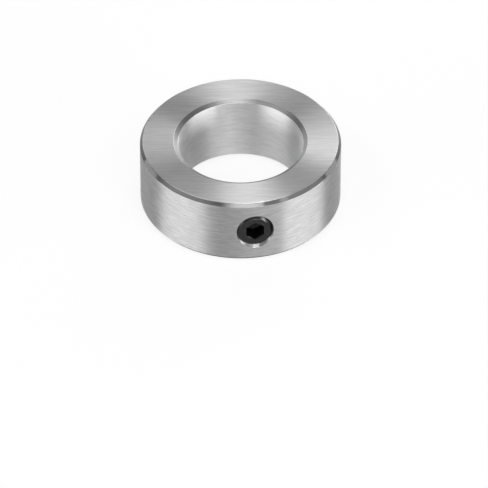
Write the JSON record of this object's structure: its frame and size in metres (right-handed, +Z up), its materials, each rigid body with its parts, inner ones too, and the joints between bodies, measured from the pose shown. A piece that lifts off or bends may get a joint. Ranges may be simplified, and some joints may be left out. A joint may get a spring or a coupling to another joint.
{
  "type": "shaft collar",
  "caption": "Turned steel ring that slides on a round shaft and is held by a radial grub screw with a hexagon socket and a cup point.",
  "frame": {"origin": "centre of the lower face, on the axis of the bore", "axes": "+Z up along the bore axis; the grub screw lies on -Y at mid width and points along +Y, towards the shaft"},
  "size_m": [0.045, 0.045, 0.016],
  "materials": {
    "collar_steel": "bright turned and brushed",
    "black_oxide": "black oxide, satin"
  },
  "bodies": {
    "collar": {"collar_ring": "collar_steel"},
    "screw": {"grub_screw": "black_oxide"}
  },
  "joints": [
    {"name": "screw_travel", "type": "slide", "parent": "collar", "child": "screw", "axis": [0, 1, 0], "range_m": [-0.00875, 0.00125]}
  ]
}
